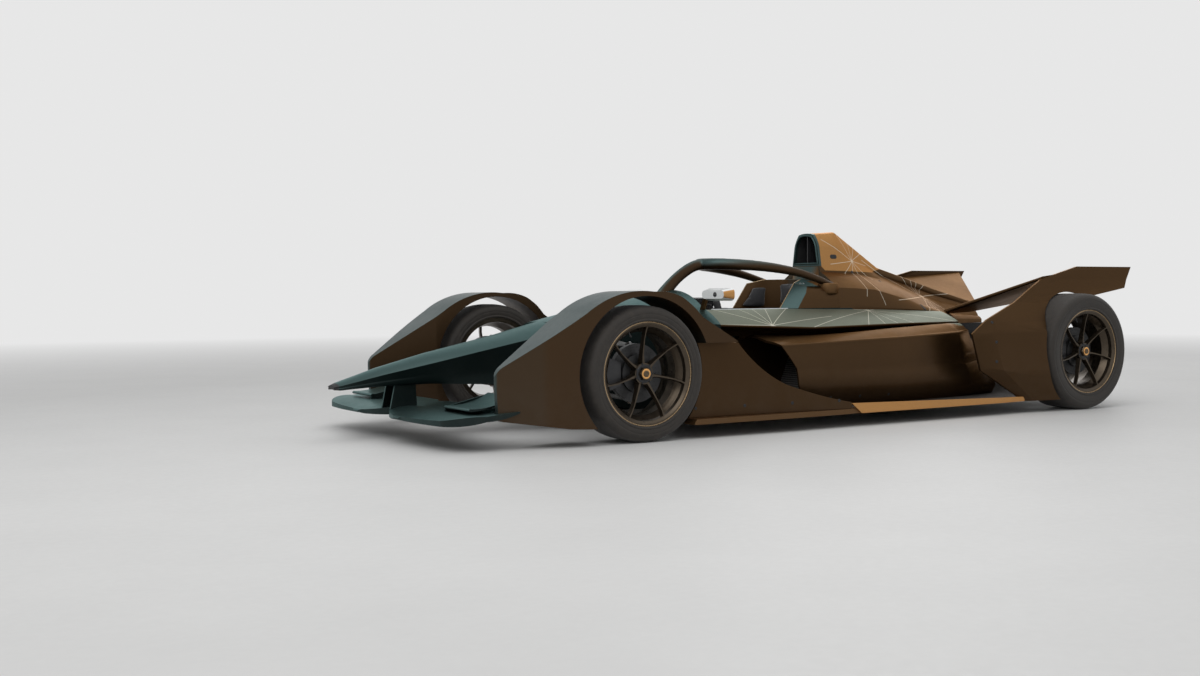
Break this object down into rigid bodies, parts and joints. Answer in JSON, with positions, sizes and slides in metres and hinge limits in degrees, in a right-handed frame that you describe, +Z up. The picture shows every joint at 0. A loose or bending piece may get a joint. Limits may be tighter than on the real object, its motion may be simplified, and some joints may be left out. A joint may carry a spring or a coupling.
{
  "type": "open wheel racing car",
  "caption": "Single-seat open wheel racing car with covered wheels, a cockpit hoop, a tall intake fin, winged rear panels and turning, steered wheels.",
  "frame": {"origin": "on the ground, under the middle of the overall length and width", "axes": "+X forward to the nose, +Y to the driver's left, +Z up"},
  "size_m": [5.16, 1.77, 1.05],
  "materials": {
    "satin_black": "satin painted composite",
    "pale_grey": "satin painted composite",
    "bare_carbon": "lacquered woven composite",
    "gold_trim": "satin metallic paint",
    "radiator_core": "finned core",
    "cast_alloy": "machined casting",
    "red_lens": "clear moulded lens",
    "padded_trim": "matt padded cover",
    "dark_steel": "satin black tube",
    "tyre_rubber": "matt tread rubber",
    "wheel_black": "satin black forged alloy",
    "brake_iron": "machined disc"
  },
  "bodies": {
    "chassis": {"monocoque": "satin_black", "nose": "pale_grey", "front_wing": "pale_grey", "front_flaps": "pale_grey", "fender_left": "satin_black", "fender_right": "satin_black", "side_panels": "satin_black", "floor": "bare_carbon", "floor_edge_strips": "gold_trim", "sidepod_left": "satin_black", "sidepod_right": "satin_black", "radiators": "radiator_core", "engine_cover": "satin_black", "intake_fin": "gold_trim", "battery": "cast_alloy", "gearbox": "cast_alloy", "crash_structure": "bare_carbon", "rain_light": "red_lens", "rear_panel_left": "satin_black", "rear_panel_right": "satin_black", "rear_winglets": "bare_carbon", "halo": "bare_carbon", "headrest": "padded_trim", "seat": "padded_trim", "mirrors": "pale_grey", "front_wishbones": "dark_steel", "rear_wishbones": "dark_steel", "rear_uprights": "cast_alloy"},
    "knuckle_left": {"knuckle_left": "cast_alloy"},
    "knuckle_right": {"knuckle_right": "cast_alloy"},
    "front_wheel_left": {"front_tyre_left": "tyre_rubber", "front_rim_left": "wheel_black", "front_hub_left": "brake_iron"},
    "front_wheel_right": {"front_tyre_right": "tyre_rubber", "front_rim_right": "wheel_black", "front_hub_right": "brake_iron"},
    "rear_wheel_left": {"rear_tyre_left": "tyre_rubber", "rear_rim_left": "wheel_black", "rear_hub_left": "brake_iron"},
    "rear_wheel_right": {"rear_tyre_right": "tyre_rubber", "rear_rim_right": "wheel_black", "rear_hub_right": "brake_iron"},
    "steering_rack": {"steering_rack": "dark_steel"},
    "steering_wheel": {"steering_wheel": "satin_black"}
  },
  "joints": [
    {"name": "steer_left", "type": "hinge", "parent": "chassis", "child": "knuckle_left", "pos_m": [1.367, 0.715, 0.32], "axis": [0, 0, 1], "range_deg": [-16, 16]},
    {"name": "steer_right", "type": "hinge", "parent": "chassis", "child": "knuckle_right", "pos_m": [1.367, -0.715, 0.32], "axis": [0, 0, 1], "range_deg": [-16, 16]},
    {"name": "front_wheel_left_spin", "type": "hinge", "parent": "knuckle_left", "child": "front_wheel_left", "pos_m": [1.367, 0.765, 0.32], "axis": [0, 1, 0], "continuous": true},
    {"name": "rear_wheel_left_spin", "type": "hinge", "parent": "chassis", "child": "rear_wheel_left", "pos_m": [-1.733, 0.75, 0.34], "axis": [0, 1, 0], "continuous": true},
    {"name": "front_wheel_right_spin", "type": "hinge", "parent": "knuckle_right", "child": "front_wheel_right", "pos_m": [1.367, -0.765, 0.32], "axis": [0, 1, 0], "continuous": true},
    {"name": "rear_wheel_right_spin", "type": "hinge", "parent": "chassis", "child": "rear_wheel_right", "pos_m": [-1.733, -0.75, 0.34], "axis": [0, 1, 0], "continuous": true},
    {"name": "rack_travel", "type": "slide", "parent": "chassis", "child": "steering_rack", "axis": [0, 1, 0], "range_m": [-0.0265, 0.0265]},
    {"name": "steering_wheel_turn", "type": "hinge", "parent": "chassis", "child": "steering_wheel", "pos_m": [0.39, 0, 0.598], "axis": [0.9781, 0, -0.2079], "range_deg": [-145, 145]}
  ],
  "couplings": [
    {"joint": "steer_right", "follows": "steer_left", "ratio": 1},
    {"joint": "rack_travel", "follows": "steer_left", "m_per_rad": -0.09377},
    {"joint": "steering_wheel_turn", "follows": "steer_left", "ratio": -9}
  ]
}
